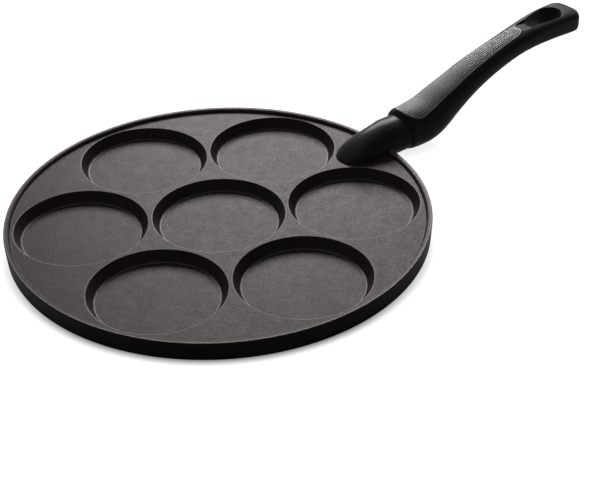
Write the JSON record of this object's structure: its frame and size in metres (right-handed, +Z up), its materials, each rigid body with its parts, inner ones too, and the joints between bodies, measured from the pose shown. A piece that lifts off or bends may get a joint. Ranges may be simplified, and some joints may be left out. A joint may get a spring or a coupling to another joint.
{
  "type": "plett pan",
  "caption": "Round cast pan with shallow round wells for small pancakes, low rim, cast lug and a rising moulded handle with a hanging slot.",
  "frame": {"origin": "centre of the round base, on the plane that the pan stands on", "axes": "+X out along the handle, +Y across it, +Z up out of the wells"},
  "size_m": [0.4492, 0.2706, 0.0599],
  "materials": {
    "nonstick_coating": "cast aluminium under a dark grey, fine-grained satin non-stick coating",
    "handle_moulding": "black moulded phenolic, satin",
    "soft_inlay": "charcoal soft-touch inlay with rows of fine dimples",
    "plated_steel": "bright zinc-plated steel"
  },
  "bodies": {
    "root": {"pan_body": "nonstick_coating", "handle": "handle_moulding", "grip_panel": "soft_inlay", "handle_screw": "plated_steel", "spring_washer": "plated_steel"}
  },
  "joints": []
}
